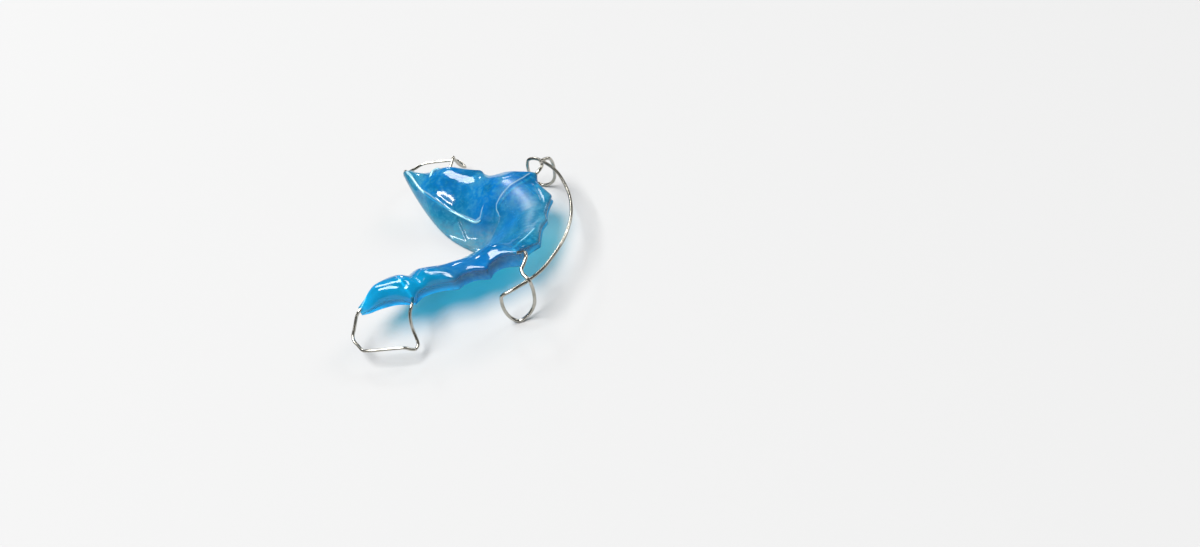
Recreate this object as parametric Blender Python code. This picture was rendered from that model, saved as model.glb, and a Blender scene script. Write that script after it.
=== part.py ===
"""Upper Hawley retainer: a blue acrylic baseplate, a labial bow with two canine loops,
and an Adams clasp for the last molar on each side.

Metres, +Z up. It lies as it would on a bench, with the side that faces the tongue upwards:
it rests on the back edge of the palate plate and on the two canine loops. X is across the
arch, +Y points to the front teeth, and the origin is on the floor under the middle."""

import math

import bmesh
import bpy
from mathutils import Vector

MM = 0.001

# Arch: the line through the contact points of the teeth
ARCH_HALF_WIDTH = 27.0 * MM
ARCH_DEPTH = 40.5 * MM
ARCH_SQUARENESS = 2.65
INCISOR_SETBACK = 3.0 * MM

# Crowns from the midline to the last molar: width, half depth from lip to palate,
# depth of the plate's rim on the crown, and depth of the rounded shelf behind it
CENTRAL_INCISOR = (8.5 * MM, 3.7 * MM, 4.9 * MM, 4.3 * MM)
LATERAL_INCISOR = (6.9 * MM, 3.6 * MM, 4.3 * MM, 3.6 * MM)
CANINE = (7.7 * MM, 4.3 * MM, 2.2 * MM, 2.0 * MM)
PREMOLAR = (7.2 * MM, 4.2 * MM, 2.4 * MM, 2.1 * MM)
FIRST_MOLAR = (10.8 * MM, 4.7 * MM, 2.6 * MM, 1.4 * MM)
LAST_MOLAR = (10.4 * MM, 5.4 * MM, 4.9 * MM, 1.7 * MM)
CROWN_ROUNDNESS = 2.6
GAP_ROUNDNESS = 1.5
FRONT_GAP_REACH = 2.8 * MM
SIDE_GAP_REACH = 2.6 * MM
MOLAR_GAP_REACH = 3.2 * MM
BOW_GAP_REACH = 1.4 * MM
TIP_REACH = 3.8 * MM
TIP_RIM_DEPTH = 5.5 * MM
TIP_CREST_DEPTH = 4.0 * MM

# Heights, all measured down from the biting edges; the palate side rests on the floor
GUM_DEPTH = 6.8 * MM
VAULT_DEPTH = 14.2 * MM
BITE_HEIGHT = VAULT_DEPTH
BOW_EXIT_RISE = 2.0 * MM
CLASP_EXIT_DIP = 1.0 * MM
BOW_EXIT_WIDTH = 3.0 * MM
CLASP_EXIT_WIDTH = 1.9 * MM

# Baseplate section, measured inwards from the contact line
PALATE_START = 4.6 * MM
PALATE_RUN = 18.5 * MM
SHELF_REACH = 7.0 * MM
EDGE_THICKNESS = 1.0 * MM
EDGE_ROLL = 3.2 * MM
NOTCH_FRONT = (0.0, -26.4 * MM)
NOTCH_SIDE = (7.2 * MM, -38.6 * MM)
NOTCH_CURL = 1.35
TIP_WRAP = 2.0 * MM
TIP_INSET = 4.8 * MM
TIP_BACK = 2.7 * MM

# Imprint of the palate: the papilla behind the incisors and the ridges on each side of it
PAPILLA_BACK = 6.5 * MM
PAPILLA_WIDTH = 1.6 * MM
PAPILLA_LENGTH = 2.6 * MM
RUGA_HEIGHT = 0.45 * MM
RUGA_WIDTH = 0.9 * MM
RUGA_SPACING = 3.6 * MM
RUGA_INNER_END = 1.2 * MM
RUGA_OUTER_END = 9.5 * MM
RUGA_SLANT = 0.25
RUGA_COUNT = 3

# Loft of the plate
STATIONS_PER_CROWN = 7
POLISHED_POINTS = 17
TISSUE_POINTS = 20
EDGE_BUNCHING = 0.08

# Wires
BOW_DIAMETER = 0.8 * MM
CLASP_DIAMETER = 0.7 * MM
BOW_TAG_COVER = 1.15 * MM
CLASP_TAG_COVER = 0.95 * MM
WIRE_CLEARANCE = 0.25 * MM
WIRE_POINT_STEP = 0.9 * MM
BOW_OUT = 2.1 * MM
BOW_DEPTH = 5.0 * MM
CHANNEL_LEAD = 5.0 * MM
WELD_DISTANCE = 0.001 * MM
PROBE = 0.2 * MM
SIDES_PER_WIRE = 8
SIDES_AT_LEVEL_ZERO = 4

CROWNS = (CENTRAL_INCISOR, LATERAL_INCISOR, CANINE, PREMOLAR, FIRST_MOLAR, LAST_MOLAR)
GAPS = (FRONT_GAP_REACH, FRONT_GAP_REACH, BOW_GAP_REACH, SIDE_GAP_REACH, MOLAR_GAP_REACH,
        SIDE_GAP_REACH, TIP_REACH)
ARCH_LENGTH = sum(crown[0] for crown in CROWNS)
PLATE_HALF_LENGTH = ARCH_LENGTH + TIP_WRAP
BOW_EXIT = CENTRAL_INCISOR[0] + LATERAL_INCISOR[0]
CLASP_EXIT = ARCH_LENGTH - LAST_MOLAR[0]
ARCH_STEPS = 600
ARCH_SPARE = 1.15


def clear_scene():
    for old in list(bpy.data.objects):
        bpy.data.objects.remove(old, do_unlink=True)


def finish(name, colour, roughness, metallic, alpha=1.0):
    """A Principled material in the colour and gloss of the real surface."""
    material = bpy.data.materials.new(name)
    material.use_nodes = True
    shader = material.node_tree.nodes["Principled BSDF"]
    shader.inputs["Base Color"].default_value = (*colour, 1.0)
    shader.inputs["Roughness"].default_value = roughness
    shader.inputs["Metallic"].default_value = metallic
    shader.inputs["Alpha"].default_value = alpha
    material.diffuse_color = (*colour, alpha)
    return material


def ease(t):
    t = min(max(t, 0.0), 1.0)
    return t * t * (3.0 - 2.0 * t)


def mix(low, high, t):
    return low + (high - low) * t


def bell(offset, width):
    return math.exp(-((offset / width) ** 2))


def arch_table():
    """Points of the contact line with their distance from the midline, walked along x."""
    table = [(0.0, 0.0, -INCISOR_SETBACK)]
    for i in range(1, ARCH_STEPS + 1):
        x = ARCH_HALF_WIDTH * ARCH_SPARE * i / ARCH_STEPS
        y = -INCISOR_SETBACK - ARCH_DEPTH * (x / ARCH_HALF_WIDTH) ** ARCH_SQUARENESS
        s, last_x, last_y = table[-1]
        table.append((s + math.hypot(x - last_x, y - last_y), x, y))
    return table


ARCH_TABLE = arch_table()


def arch_step(s):
    """The stretch of the table that holds the distance s from the midline."""
    low, high = 0, len(ARCH_TABLE) - 1
    while high - low > 1:
        middle = (low + high) // 2
        if ARCH_TABLE[middle][0] <= abs(s):
            low = middle
        else:
            high = middle
    return ARCH_TABLE[low], ARCH_TABLE[high]


def contact_line(s):
    """The point of the contact line at the distance s from the midline, right side positive."""
    start, end = arch_step(s)
    t = (abs(s) - start[0]) / (end[0] - start[0])
    x = mix(start[1], end[1], t)
    return (x if s >= 0.0 else -x), mix(start[2], end[2], t)


def back_border(s):
    """The rear border of the plate in plan: a curve from the notch on the midline to the tip."""
    side = 1.0 if s >= 0.0 else -1.0
    t = min(abs(s) / PLATE_HALF_LENGTH, 1.0) ** NOTCH_CURL
    a, b, c = (1.0 - t) ** 2, 2.0 * t * (1.0 - t), t * t
    end_x, end_y = contact_line(PLATE_HALF_LENGTH)
    x = a * NOTCH_FRONT[0] + b * NOTCH_SIDE[0] + c * (end_x - TIP_INSET)
    y = a * NOTCH_FRONT[1] + b * NOTCH_SIDE[1] + c * (end_y - TIP_BACK)
    return side * x, y


def border_reach(s):
    x, y = contact_line(s)
    bx, by = back_border(s)
    return math.hypot(bx - x, by - y)


def tooth_reach(s):
    """How far inwards the crowns reach: a bulge at each tooth and a blunt tongue at each gap."""
    along = abs(s)
    start = 0.0
    for crown, near_gap, far_gap in zip(CROWNS, GAPS, GAPS[1:]):
        if along <= start + crown[0]:
            q = (along - start) / crown[0] * 2.0 - 1.0
            gap = near_gap if q < 0.0 else far_gap
            bulge = max(0.0, 1.0 - abs(q) ** CROWN_ROUNDNESS) ** GAP_ROUNDNESS
            return gap + (crown[1] - gap) * bulge
        start += crown[0]
    return TIP_REACH


def along_crowns(s, column, last):
    """A value of the crowns' rows, eased from one crown's middle to the next."""
    along = abs(s)
    start = 0.0
    before = (0.0, CROWNS[0][column])
    for crown in CROWNS:
        here = (start + crown[0] / 2.0, crown[column])
        if along <= here[0]:
            return mix(before[1], here[1], ease((along - before[0]) / (here[0] - before[0])))
        before = here
        start += crown[0]
    return mix(before[1], last, ease((along - before[0]) / (PLATE_HALF_LENGTH - before[0])))


def exit_shift(s):
    """The acrylic rises round the bow where it leaves, and dips where the clasp arm does."""
    rise = BOW_EXIT_RISE * bell(abs(s) - BOW_EXIT, BOW_EXIT_WIDTH)
    return CLASP_EXIT_DIP * bell(abs(s) - CLASP_EXIT, CLASP_EXIT_WIDTH) - rise


def rim_depth(s):
    return along_crowns(s, 2, TIP_RIM_DEPTH) + exit_shift(s)


def crest_depth(s):
    return min(along_crowns(s, 3, TIP_CREST_DEPTH) + exit_shift(s), rim_depth(s))


def palate_depth(r):
    """Depth of the smooth palate at r inwards from the contact line."""
    return mix(GUM_DEPTH, VAULT_DEPTH, ease((r - PALATE_START) / PALATE_RUN))


def palate_relief(x, y):
    """How far the papilla and the ridges of the palate press into the tissue side."""
    back = -INCISOR_SETBACK - y
    papilla = bell(x, PAPILLA_WIDTH) * bell(back - PAPILLA_BACK, PAPILLA_LENGTH)
    aside = abs(x)
    ends = ease((aside - RUGA_INNER_END) / RUGA_WIDTH) * ease((RUGA_OUTER_END - aside) / RUGA_SPACING)
    ridge = 0.0
    for i in range(RUGA_COUNT):
        middle = PAPILLA_BACK + RUGA_SPACING * (i + 1.0 - RUGA_SLANT * aside / RUGA_WIDTH / RUGA_COUNT)
        ridge = max(ridge, bell(back - middle, RUGA_WIDTH))
    return RUGA_HEIGHT * max(papilla, ridge * ends)


def tissue_depth(s, r):
    return palate_depth(r) - palate_relief(*plan_point(s, r))


def polished_depth(s, r):
    """Depth of the side that faces the tongue."""
    start = tooth_reach(s)
    end = PALATE_START + PALATE_RUN
    crest = crest_depth(s)
    depth = mix(crest, VAULT_DEPTH - EDGE_THICKNESS, ease((r - SHELF_REACH) / (end - SHELF_REACH)))
    if r < SHELF_REACH:
        u = (r - start) / (SHELF_REACH - start)
        depth += (rim_depth(s) - crest) * (1.0 - u) ** 2
    reach = border_reach(s)
    edge = palate_depth(reach) - EDGE_THICKNESS
    v = (r - (reach - EDGE_ROLL)) / EDGE_ROLL
    if v > 0.0 and edge > depth:
        depth += (edge - depth) * (1.0 - math.sqrt(max(0.0, 1.0 - v * v)))
    return depth


def plan_point(s, r):
    x, y = contact_line(s)
    bx, by = back_border(s)
    share = r / math.hypot(bx - x, by - y)
    return x + (bx - x) * share, y + (by - y) * share


def place(x, y, depth):
    return Vector((x, y, BITE_HEIGHT - depth))


def beside_teeth(s, out, depth):
    """A point at the distance out from the contact line, towards lip and cheek."""
    x, y = contact_line(s)
    start, end = arch_step(s)
    run = end[0] - start[0]
    return place(x + (start[2] - end[2]) / run * out, y + (end[1] - start[1]) / run * out, depth)


def polished_point(s, r):
    return place(*plan_point(s, r), polished_depth(s, r))


def inside_plate(s, r, cover):
    """A point of a wire in the plate: so far under the polished side, or halfway where it is thin."""
    surface = polished_point(s, r)
    along = polished_point(s + PROBE, r) - surface
    inwards = polished_point(s, r + PROBE) - surface
    down = along.cross(inwards).normalized()
    if down.z > 0.0:
        down.negate()
    thickness = (palate_depth(r) - polished_depth(s, r)) * -down.z
    return surface + down * min(cover, thickness / 2.0)


def smooth_path(points, step):
    """Points about one step apart on a smooth curve through the given points."""
    path = []
    ends = [2.0 * points[0] - points[1]] + list(points) + [2.0 * points[-1] - points[-2]]
    for p0, p1, p2, p3 in zip(ends, ends[1:], ends[2:], ends[3:]):
        count = max(1, round((p2 - p1).length / step))
        k1, k2 = math.sqrt((p1 - p0).length), math.sqrt((p2 - p1).length)
        k3 = math.sqrt((p3 - p2).length)
        m1 = (p2 - p1) + k2 * ((p1 - p0) / k1 - (p2 - p0) / (k1 + k2))
        m2 = (p2 - p1) + k2 * ((p3 - p2) / k3 - (p3 - p1) / (k2 + k3))
        for i in range(count):
            t = i / count
            path.append(
                p1 * (2 * t**3 - 3 * t**2 + 1) + m1 * (t**3 - 2 * t**2 + t)
                + p2 * (3 * t**2 - 2 * t**3) + m2 * (t**3 - t**2)
            )
    path.append(points[-1].copy())
    return path


def tube(name, path, diameter):
    """A round wire along a path, as a bevelled curve with filled ends."""
    curve = bpy.data.curves.new(name, "CURVE")
    curve.dimensions = "3D"
    curve.bevel_depth = diameter / 2.0
    curve.bevel_resolution = (SIDES_PER_WIRE - SIDES_AT_LEVEL_ZERO) // 2
    curve.use_fill_caps = True
    spline = curve.splines.new("POLY")
    spline.points.add(len(path) - 1)
    for point, place_at in zip(spline.points, path):
        point.co = (*place_at, 1.0)
    spline.use_smooth = True
    wire = bpy.data.objects.new(name, curve)
    bpy.context.collection.objects.link(wire)
    return wire


def mirrored(points):
    return [Vector((-p.x, p.y, p.z)) for p in points]


def bow_tag():
    """The bow's end inside the plate: from the gap behind the lateral incisor to a small hook."""
    spots = ((0.0, 2.3), (0.1, 4.6), (0.5, 7.4), (0.8, 10.2), (0.5, 12.2), (-0.5, 13.5), (-2.2, 13.4))
    return [inside_plate(BOW_EXIT + s * MM, r * MM, BOW_TAG_COVER) for s, r in spots]


def bow_half():
    """From the plate over the gap, round the canine loop and along the front teeth.
    Each spot is along the arch from the exit, out from the contact line, and depth."""
    foot = (BITE_HEIGHT - BOW_DIAMETER / 2.0) / MM
    spots = (
        (0.1, 0.2, 1.7), (0.7, 1.9, 1.6), (1.8, 2.8, 2.1), (2.8, 3.6, 2.5), (3.0, 4.6, 2.9),
        (2.7, 6.2, 3.5), (2.6, 6.8, 5.0), (2.8, 6.9, 8.0), (3.4, 6.7, 10.8), (5.1, 6.5, 13.0),
        (7.2, 6.1, foot), (8.5, 5.4, 12.2), (9.0, 5.1, 9.8), (8.9, 5.0, 7.4), (8.4, 5.4, 5.4),
        (6.6, 5.8, 4.7), (3.2, 5.4, 4.7), (-0.8, 4.4, 4.9), (-4.6, 3.0, 5.0), (-8.5, 2.2, 5.0),
        (-12.0, 2.0, 5.0),
    )
    return [beside_teeth(BOW_EXIT + s * MM, out * MM, depth * MM) for s, out, depth in spots]


def bow_path():
    half = list(reversed(bow_tag())) + bow_half()
    middle = beside_teeth(0.0, BOW_OUT, BOW_DEPTH)
    return smooth_path(half + [middle] + list(reversed(mirrored(half))), WIRE_POINT_STEP)


def front_clasp_tag():
    """The arm that enters between the molars ends in a short hook in the plate."""
    spots = ((0.0, 3.0), (-0.1, 5.4), (-0.8, 8.0), (-2.2, 10.4), (-4.2, 11.8), (-6.0, 11.6))
    return [inside_plate(CLASP_EXIT + s * MM, r * MM, CLASP_TAG_COVER) for s, r in spots]


def rear_clasp_tag():
    """The arm round the back of the molar runs forwards along the palate to a hook."""
    spots = ((1.1, 4.8), (-0.5, 6.2), (-3.3, 7.8), (-6.5, 9.3), (-11.5, 11.6), (-17.1, 13.4),
             (-22.5, 14.5), (-27.3, 15.0), (-29.3, 14.3), (-28.9, 12.4))
    return [inside_plate(ARCH_LENGTH + s * MM, r * MM, CLASP_TAG_COVER) for s, r in spots]


def clasp_outer():
    """Over the tooth on both sides, with an arrowhead at each end of the bridge.
    Each spot is along the arch from the exit, out from the contact line, and depth."""
    spots = (
        (13.8, -3.9, 5.6), (14.6, -3.4, 6.4), (15.2, -2.4, 7.3), (15.9, -1.6, 8.4), (16.5, -0.7, 9.3),
        (16.3, 0.5, 9.7), (15.5, 1.8, 9.9), (14.4, 3.6, 10.0), (13.5, 4.1, 9.9), (6.9, 5.8, 9.8),
        (5.0, 6.2, 10.0), (4.0, 6.3, 10.8), (3.2, 6.0, 11.4), (2.5, 5.2, 11.0), (2.5, 4.2, 10.0),
        (2.6, 3.3, 8.5), (2.4, 2.4, 6.4), (1.9, 1.5, 4.7), (1.1, 0.4, 3.7),
    )
    return [beside_teeth(CLASP_EXIT + s * MM, out * MM, depth * MM) for s, out, depth in spots]


def clasp_path():
    points = list(reversed(rear_clasp_tag())) + clasp_outer() + front_clasp_tag()
    return smooth_path(points, WIRE_POINT_STEP)


def route_length(points):
    return sum((b - a).length for a, b in zip(points, points[1:]))


def wire_end(path, length):
    """The first stretch of a wire, its tip moved on by the clearance."""
    stretch = [path[0] + (path[0] - path[1]).normalized() * WIRE_CLEARANCE]
    walked = 0.0
    for a, b in zip(path, path[1:]):
        if walked > length:
            break
        stretch.append(a)
        walked += (b - a).length
    return stretch


def stations():
    """Distances along the arch from the left tip to the right tip, closer together at the gaps."""
    half = []
    start = 0.0
    for crown in CROWNS:
        for i in range(STATIONS_PER_CROWN):
            u = i / STATIONS_PER_CROWN
            half.append(start + crown[0] * (u + (1.0 - math.cos(math.pi * u)) / 2.0) / 2.0)
        start += crown[0]
    half += [start, start + TIP_WRAP / 2.0, start + TIP_WRAP]
    return [-s for s in reversed(half[1:])] + half


def section(s):
    """The ring of points of the plate at one station: polished side, border, tissue side."""
    start = tooth_reach(s)
    end = border_reach(s)
    ring = []
    for i in range(POLISHED_POINTS):
        u = i / (POLISHED_POINTS - 1.0)
        r = mix(start, end, u - EDGE_BUNCHING * math.sin(2.0 * math.pi * u))
        ring.append(polished_point(s, r))
    for i in range(TISSUE_POINTS):
        r = mix(end, start, i / (TISSUE_POINTS - 1.0))
        ring.append(place(*plan_point(s, r), tissue_depth(s, r)))
    return ring


def baseplate_mesh():
    """A loft of sections from one tip round the front to the other."""
    mesh = bpy.data.meshes.new("baseplate")
    bm = bmesh.new()
    rings = [[bm.verts.new(point) for point in section(s)] for s in stations()]
    for one, other in zip(rings, rings[1:]):
        size = len(one)
        for j in range(size):
            k = (j + 1) % size
            bm.faces.new((one[j], one[k], other[k], other[j]))
    bm.faces.new(rings[0])
    bm.faces.new(list(reversed(rings[-1])))
    bmesh.ops.recalc_face_normals(bm, faces=bm.faces)
    bm.to_mesh(mesh)
    bm.free()
    return mesh


def cutter(name, path, diameter, carrier):
    """A hidden round cutter, made a mesh because a Boolean takes no curve."""
    guide = tube(name + "_guide", path, diameter)
    depsgraph = bpy.context.evaluated_depsgraph_get()
    mesh = bpy.data.meshes.new_from_object(guide.evaluated_get(depsgraph))
    bpy.data.objects.remove(guide, do_unlink=True)
    bm = bmesh.new()
    bm.from_mesh(mesh)
    bmesh.ops.remove_doubles(bm, verts=bm.verts, dist=WELD_DISTANCE)
    bmesh.ops.recalc_face_normals(bm, faces=bm.faces)
    bm.to_mesh(mesh)
    bm.free()
    shape = bpy.data.objects.new(name, mesh)
    shape.hide_render = True
    shape.display_type = "WIRE"
    shape.parent = carrier
    bpy.context.collection.objects.link(shape)
    return shape


def make_baseplate(material, carrier):
    mesh = baseplate_mesh()
    plate = bpy.data.objects.new("baseplate", mesh)
    plate.parent = carrier
    bpy.context.collection.objects.link(plate)
    mesh.materials.append(material)
    bow = bow_path()
    clasp = clasp_path()
    ends = (
        ("bow_channel", bow, bow_tag(), BOW_DIAMETER),
        ("rear_clasp_channel", clasp, rear_clasp_tag(), CLASP_DIAMETER),
        ("front_clasp_channel", list(reversed(clasp)), front_clasp_tag(), CLASP_DIAMETER),
    )
    for name, path, tag, diameter in ends:
        right = wire_end(path, route_length(tag) + CHANNEL_LEAD)
        for side, route in (("right", right), ("left", mirrored(right))):
            shape = cutter(name + "_" + side, route, diameter + 2.0 * WIRE_CLEARANCE, carrier)
            cut = plate.modifiers.new(shape.name, "BOOLEAN")
            cut.operation = "DIFFERENCE"
            cut.solver = "EXACT"
            cut.object = shape
    mesh.shade_smooth()
    mesh.set_sharp_from_angle(angle=math.radians(40.0))
    return plate


def make_wires(material, carrier):
    bow = tube("labial_bow", bow_path(), BOW_DIAMETER)
    right = tube("molar_clasp_right", clasp_path(), CLASP_DIAMETER)
    left = tube("molar_clasp_left", mirrored(clasp_path()), CLASP_DIAMETER)
    for wire in (bow, right, left):
        wire.parent = carrier
        wire.data.materials.append(material)


def make_carrier():
    """An empty that brings the middle of the outline over the origin."""
    front = max(point.y for point in bow_path()) + BOW_DIAMETER / 2.0
    back = min(point.y for point in clasp_path()) - CLASP_DIAMETER / 2.0
    carrier = bpy.data.objects.new("retainer", None)
    carrier.location = (0.0, -(front + back) / 2.0, 0.0)
    bpy.context.collection.objects.link(carrier)
    return carrier


clear_scene()
retainer = make_carrier()
make_baseplate(finish("blue_acrylic", (0.0, 0.25, 0.62), 0.12, 0.0, 0.8), retainer)
make_wires(finish("steel_wire", (0.72, 0.71, 0.68), 0.2, 1.0), retainer)
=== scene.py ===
import math

import bpy
import numpy as np
from mathutils import Matrix, Vector, noise


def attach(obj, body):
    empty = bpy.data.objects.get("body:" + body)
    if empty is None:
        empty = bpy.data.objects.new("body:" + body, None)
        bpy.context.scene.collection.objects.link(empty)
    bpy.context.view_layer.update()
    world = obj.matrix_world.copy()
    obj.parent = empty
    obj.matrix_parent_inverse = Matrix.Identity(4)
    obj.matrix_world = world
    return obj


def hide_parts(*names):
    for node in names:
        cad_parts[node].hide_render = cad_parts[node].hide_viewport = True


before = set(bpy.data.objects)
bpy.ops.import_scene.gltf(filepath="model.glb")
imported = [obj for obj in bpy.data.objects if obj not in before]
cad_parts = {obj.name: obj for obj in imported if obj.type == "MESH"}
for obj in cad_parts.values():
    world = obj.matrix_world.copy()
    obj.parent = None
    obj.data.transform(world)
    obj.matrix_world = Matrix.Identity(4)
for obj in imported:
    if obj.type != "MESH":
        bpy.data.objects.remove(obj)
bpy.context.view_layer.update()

# Baseplate. One piece of clear blue acrylic, cured cold to the shape of the palate, ground to its
# outline and polished on the side that faces the tongue. The other side keeps the palate's
# imprint, the scalloped rim fits behind the crowns, and the wires are cast in.
MM = 0.001
ARCH_HALF_WIDTH = 27.0 * MM
ARCH_DEPTH = 40.5 * MM
ARCH_SQUARENESS = 2.65
ARCH_SPARE = 1.15
ARCH_SAMPLES = 2400
INCISOR_SETBACK = 3.0 * MM
ARCH_CENTRE_Y = -24.739 * MM
BITE_HEIGHT = 14.2 * MM

# Crowns from the midline back: their width, and on each side their reach inwards and the depth
# of the plate's rim and of the shelf behind it. The near side is +X, towards the camera. The plate
# was shaped by hand, so its sides differ a little.
CROWN_WIDTH = np.array((8.5, 6.9, 7.7, 7.2, 10.8, 10.4)) * MM
NEAR_REACH = np.array((3.7, 3.6, 4.3, 4.2, 4.7, 4.4)) * MM
FAR_REACH = np.array((3.7, 3.6, 3.1, 4.2, 4.7, 4.8)) * MM
NEAR_RIM = np.array((4.9, 4.3, 3.1, 3.2, 3.8, 4.4)) * MM
FAR_RIM = np.array((4.9, 4.0, 1.7, 4.0, 2.9, 5.6)) * MM
NEAR_SHELF = np.array((4.3, 3.6, 2.8, 2.3, 1.1, 1.6)) * MM
FAR_SHELF = np.array((4.3, 2.8, 1.3, 2.8, 1.1, 4.0)) * MM
GAP_REACH = np.array((2.8, 2.8, 1.4, 2.6, 3.2, 2.6, 3.8)) * MM
TIP_RIM_DEPTH = 5.5 * MM
TIP_SHELF_DEPTH = 4.0 * MM
ARCH_LENGTH = CROWN_WIDTH.sum()
TIP_WRAP = 2.0 * MM
TIP_INSET = 4.8 * MM
TIP_BACK = 2.7 * MM
PLATE_HALF_LENGTH = ARCH_LENGTH + TIP_WRAP
CROWN_STARTS = np.concatenate([[0.0], np.cumsum(CROWN_WIDTH)])
CROWN_MIDDLES = CROWN_STARTS[:-1] + CROWN_WIDTH / 2.0
CROWN_ROUNDNESS = 2.6
GAP_ROUNDNESS = 1.5

# The bow leaves between canine and lateral incisor, the clasp in front of the last molar
BOW_EXIT = CROWN_STARTS[2]
CLASP_EXIT = CROWN_STARTS[5]
BOW_EXIT_RISE = 1.3 * MM
CLASP_EXIT_DIP = 1.4 * MM
BOW_EXIT_WIDTH = 3.4 * MM
CLASP_EXIT_WIDTH = 1.7 * MM
CREST_NOTCH_LEAD = 4.0 * MM

# The front rim leans: it reaches further out on the far side, at the lateral incisor
LEAN_OUT, LEAN_OUT_PLACE, LEAN_OUT_WIDTH = 1.6 * MM, -11.0 * MM, 5.0 * MM
LEAN_IN, LEAN_IN_PLACE, LEAN_IN_WIDTH = 0.9 * MM, 1.5 * MM, 5.0 * MM

# Depths are measured down from the biting edges, and reaches inwards from the contact line
GUM_DEPTH = 6.8 * MM
VAULT_DEPTH = 14.2 * MM
PALATE_START = 4.6 * MM
PALATE_RUN = 18.5 * MM
SHELF_REACH = 7.0 * MM
EDGE_THICKNESS = 1.0 * MM
EDGE_ROLL = 3.2 * MM
NOTCH_FRONT = (0.0, -26.4 * MM)
NOTCH_SIDE = (7.2 * MM, -38.6 * MM)
NOTCH_CURL = 1.35

PAPILLA_BACK = 6.5 * MM
PAPILLA_WIDTH = 1.6 * MM
PAPILLA_LENGTH = 2.6 * MM
RUGA_HEIGHT = 0.12 * MM
RUGA_WIDTH = 0.9 * MM
RUGA_SPACING = 3.6 * MM
RUGA_INNER_END = 1.2 * MM
RUGA_OUTER_END = 9.5 * MM
RUGA_SLANT = 0.25
RUGA_COUNT = 3

RIM_ROUND = 0.6 * MM
FOOT_ROUND = 0.2 * MM
BORDER_ROUND = 0.45 * MM
LINGUAL_HOLLOW = 0.3 * MM

# Ends of the wires in the acrylic, in mm: along the arch from where they leave it, and inwards
NEAR_BOW_TAG = (
    (0.0, 2.3), (-0.8, 3.9), (-2.8, 5.1), (-5.2, 5.9), (-6.9, 6.0), (-8.9, 6.1), (-11.2, 5.7),
)
FAR_BOW_TAG = (
    (0.0, 2.3), (-0.9, 4.4), (-1.4, 6.6), (-1.9, 9.6), (-2.0, 12.0), (-2.3, 13.5), (-3.1, 14.2),
    (-4.4, 14.5),
)
FRONT_CLASP_TAG = ((0.0, 3.0), (-0.1, 5.4), (-0.8, 8.0), (-2.2, 10.4), (-4.2, 11.8), (-6.0, 11.6))
REAR_CLASP_TAG = (
    (1.1, 4.8), (-0.9, 6.6), (-4.0, 8.6), (-9.2, 11.6), (-12.5, 13.0), (-16.3, 14.3),
    (-22.5, 15.7), (-28.5, 16.7), (-33.6, 17.3), (-34.9, 16.6), (-34.5, 15.0),
)
BOW_TAG_COVER = 0.53 * MM
REAR_TAG_COVER = 0.48 * MM
FRONT_TAG_COVER = 0.95 * MM

# The near end of the bow gets its ridge and its painted highlight line from this point of its list on
NEAR_BOW_SHOWS_FROM = 3

# The step along a line or a surface that tells its slope
PROBE = 0.2 * MM

arch_x = np.linspace(0.0, ARCH_HALF_WIDTH * ARCH_SPARE, ARCH_SAMPLES)
arch_y = -INCISOR_SETBACK - ARCH_DEPTH * (arch_x / ARCH_HALF_WIDTH) ** ARCH_SQUARENESS
arch_s = np.concatenate([[0.0], np.cumsum(np.hypot(np.diff(arch_x), np.diff(arch_y)))])


def ease(t):
    """From 0 to 1, slow at both ends."""
    t = np.clip(t, 0.0, 1.0)
    return t * t * (3.0 - 2.0 * t)


def bell(offset, width):
    return np.exp(-((offset / width) ** 2))


def contact_line(s):
    """The line through the contact points of the crowns, at s from the midline."""
    x = np.interp(np.abs(s), arch_s, arch_x)
    return np.where(s < 0.0, -x, x), np.interp(np.abs(s), arch_s, arch_y)


def back_border(s):
    """The plate's back edge, a curve from the middle of the notch to the tip at s's end."""
    t = np.clip(np.abs(s) / PLATE_HALF_LENGTH, 0.0, 1.0) ** NOTCH_CURL
    a, b, c = (1.0 - t) ** 2, 2.0 * t * (1.0 - t), t * t
    end_x, end_y = contact_line(PLATE_HALF_LENGTH)
    x = a * NOTCH_FRONT[0] + b * NOTCH_SIDE[0] + c * (end_x - TIP_INSET)
    y = a * NOTCH_FRONT[1] + b * NOTCH_SIDE[1] + c * (end_y - TIP_BACK)
    return np.where(s < 0.0, -x, x), y


def border_reach(s):
    x, y = contact_line(s)
    bx, by = back_border(s)
    return np.hypot(bx - x, by - y)


def plan_point(s, r):
    """The plan place at r inwards from the contact line, on the way to the back border."""
    x, y = contact_line(s)
    bx, by = back_border(s)
    share = r / np.hypot(bx - x, by - y)
    return x + (bx - x) * share, y + (by - y) * share


def tooth_reach(s):
    """How far inwards the scalloped rim starts: round each crown, and out into each gap."""
    along = np.abs(s)
    crown = np.clip(np.searchsorted(CROWN_STARTS, along, side="right") - 1, 0, len(CROWN_WIDTH) - 1)
    q = np.clip((along - CROWN_STARTS[crown]) / CROWN_WIDTH[crown] * 2.0 - 1.0, -1.0, 1.0)
    gap = np.where(q < 0.0, GAP_REACH[crown], GAP_REACH[crown + 1])
    bulge = np.maximum(0.0, 1.0 - np.abs(q) ** CROWN_ROUNDNESS) ** GAP_ROUNDNESS
    crown_reach = np.where(s < 0.0, FAR_REACH[crown], NEAR_REACH[crown])
    reach = gap + (crown_reach - gap) * bulge
    inwards = LEAN_IN * bell(s - LEAN_IN_PLACE, LEAN_IN_WIDTH)
    outwards = LEAN_OUT * bell(s - LEAN_OUT_PLACE, LEAN_OUT_WIDTH)
    return np.where(along > ARCH_LENGTH, GAP_REACH[-1], reach + (inwards - outwards))


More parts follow.
